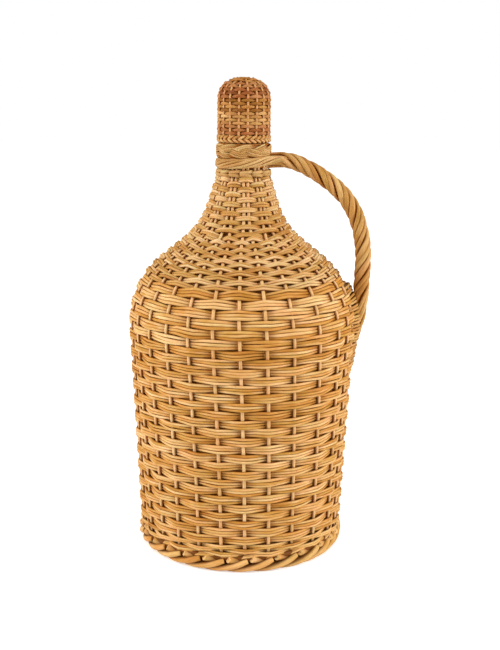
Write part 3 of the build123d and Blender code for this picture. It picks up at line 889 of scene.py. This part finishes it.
crown_stakes, crown_turns, crown_pitch = cap_stake_count // 2, 5.2, 2.15 * mm
crown = Bundle()
lining(crown, head, crown_start + np.arange(0.2, 11.0, 2.1) * mm, 1.7 * mm, 1.3 * mm)
for column in range(crown_stakes):
    travel = np.linspace(crown_start - 1 * mm, crown_start + 11.2 * mm, 12)
    line, outward = head.place(cap_first_angle + 2 * cap_spacing * column, travel, cap_weave_depth)
    # Light painted shade on the crown's stakes.
    crown.rod(line, outward, 0.9 * mm, 0.9 * mm, chance.uniform(0.3, 0.9), 0.1)
turns = np.linspace(0, crown_turns, 5 * crown_stakes * 6)
wave = np.cos(turns * crown_stakes * math.pi)
travel = crown_start + 0.8 * mm + turns * crown_pitch
depth = cap_weave_depth + 0.6 * mm * np.clip(1.3 * wave, -1, 1)
line, outward = head.place(cap_first_angle + 360 * turns, travel, depth)
# Painted shade where the crown rod goes behind a stake.
crown.rod(line, outward, 1.15 * mm, 1.1 * mm, 0.6, np.clip(-wave, 0, 1) * 0.5)
crown.piece("cap_crown_rods", cap_golden, "stopper", "cap_willow_golden", "cap_crown")

lays, ring_radius, ring_thick, ring_high = 14, 20.75 * mm, 0.95 * mm, 0.8 * mm
turn = np.linspace(0, math.tau, lays * 16 + 1)
cap_border = Bundle()
# Painted shade on the core ring inside the twisted tiers.
cap_border.rod(hoop(19.6 * mm, head_bottom + 1.4 * mm, len(turn)), (0, 0, 1), 1.0 * mm, 2.6 * mm, 0.2, 0.9)
for tier, lay, tone in ((2.5 * mm, 1, 0.25), (-0.05 * mm, -1, 0.75)):
    for strand in range(2):
        phase = lay * turn * lays + strand * math.pi
        level = head_bottom + tier + ring_high * np.sin(phase)
        line = polar(ring_radius + ring_thick * np.cos(phase), turn, level)
        way = polar(np.cos(phase), turn, np.sin(phase))
        cap_border.rod(line, way, 1.2 * mm, 1.15 * mm, tone + 0.25 * strand, 0.0, 7)
cap_border.piece("cap_border_rods", cap_pale, "stopper", "cap_stake_willow", "cap_border")

# ---- Floor, backdrop and light ----
# A plain white floor that keeps the shadow, white behind it, soft light all round and a broad lamp
# at each side and above.

white = (1.0, 1.0, 1.0, 1.0)
floor_half, room_level = 6, 0.38


def white_floor():
    """White paper that shows white where no shadow falls."""
    finish = Finish(bpy.data.materials.new("white_floor"))
    place = finish.here()
    paper = finish.blend(finish.noise(place, 30.0, 3.0), paint(250, 250, 250), paint(254, 254, 254))
    seen = finish.node("ShaderNodeLightPath", output="Is Camera Ray")
    away = finish.node("ShaderNodeVectorMath", {"operation": "LENGTH"}, {0: place}, "Value")
    far = finish.share(away, 0.3, 1.5, 0.45, 0.8)
    sheet = finish.node("ShaderNodeBsdfDiffuse", {}, {"Color": paper})
    glow = finish.node("ShaderNodeEmission", {}, {"Color": white, "Strength": seen * far})
    both = finish.node("ShaderNodeAddShader", {}, {0: sheet, 1: glow})
    finish.node("ShaderNodeOutputMaterial", {}, {"Surface": both})
    return finish.holder


floor_mesh = bpy.data.meshes.new("floor")
corners = [(x * floor_half, y * floor_half, 0) for x, y in ((-1, -1), (1, -1), (1, 1), (-1, 1))]
floor_mesh.from_pydata(corners, [], [(0, 1, 2, 3)])
floor_mesh.materials.append(white_floor())
floor = bpy.data.objects.new("floor", floor_mesh)
bpy.context.scene.collection.objects.link(floor)

bpy.context.scene.world = bpy.data.worlds.new("white_room")
room = Finish(bpy.context.scene.world)
seen = room.node("ShaderNodeLightPath", output="Is Camera Ray")
through = room.node("ShaderNodeLightPath", output="Is Transmission Ray")
strength = room.share(seen.maths("MAXIMUM", seen, through), 0.0, 1.0, room_level, 1.0)
sky = room.node("ShaderNodeBackground", {}, {"Color": white, "Strength": strength})
room.node("ShaderNodeOutputWorld", {}, {"Surface": sky})


def soft_lamp(name, place, size, power):
    """A broad lamp that looks from a place to the middle of the bottle."""
    lamp = bpy.data.lights.new(name, "AREA")
    lamp.shape = "RECTANGLE"
    lamp.size, lamp.size_y = size
    lamp.energy = power
    held = bpy.data.objects.new(name, lamp)
    away = unit(np.array(place, float) - np.array((0, 0, 0.2)))
    side = unit(np.cross((0, 0, 1), away))
    axes = np.stack([side, np.cross(away, side), away], -1)
    rows = [[*row, spot] for row, spot in zip(axes, place)]
    held.matrix_world = Matrix([*rows, [0, 0, 0, 1]])
    bpy.context.scene.collection.objects.link(held)


soft_lamp("left_lamp", (-1.45, -0.65, 0.75), (0.8, 1.3), 22.4)
soft_lamp("right_lamp", (1.52, -0.40, 0.70), (0.8, 1.3), 21)
soft_lamp("top_lamp", (0.1, -0.5, 1.6), (0.9, 0.9), 6.5)

# ---- Camera ----
# Nine tenths of a metre from the bottle's axis, level with its top and looking slightly down.

camera_distance, camera_height = 0.9, 0.3946
camera_turn, camera_pan, camera_tilt, camera_roll = 5.0, 0.44, 12.78, 0.64
lens = bpy.data.cameras.new("camera")
lens.sensor_fit = "VERTICAL"
lens.sensor_height = 36.0
lens.lens = 59.04
camera = bpy.data.objects.new("camera", lens)
around = math.radians(camera_turn - 90)
aim = Matrix.Rotation(math.radians(camera_turn - camera_pan), 4, "Z")
aim = aim @ Matrix.Rotation(math.radians(90 - camera_tilt), 4, "X")
aim = aim @ Matrix.Rotation(math.radians(camera_roll), 4, "Z")
stand = (camera_distance * math.cos(around), camera_distance * math.sin(around), camera_height)
camera.matrix_world = Matrix.Translation(stand) @ aim
bpy.context.scene.collection.objects.link(camera)
bpy.context.scene.camera = camera
bpy.context.scene.view_settings.view_transform = "Standard"
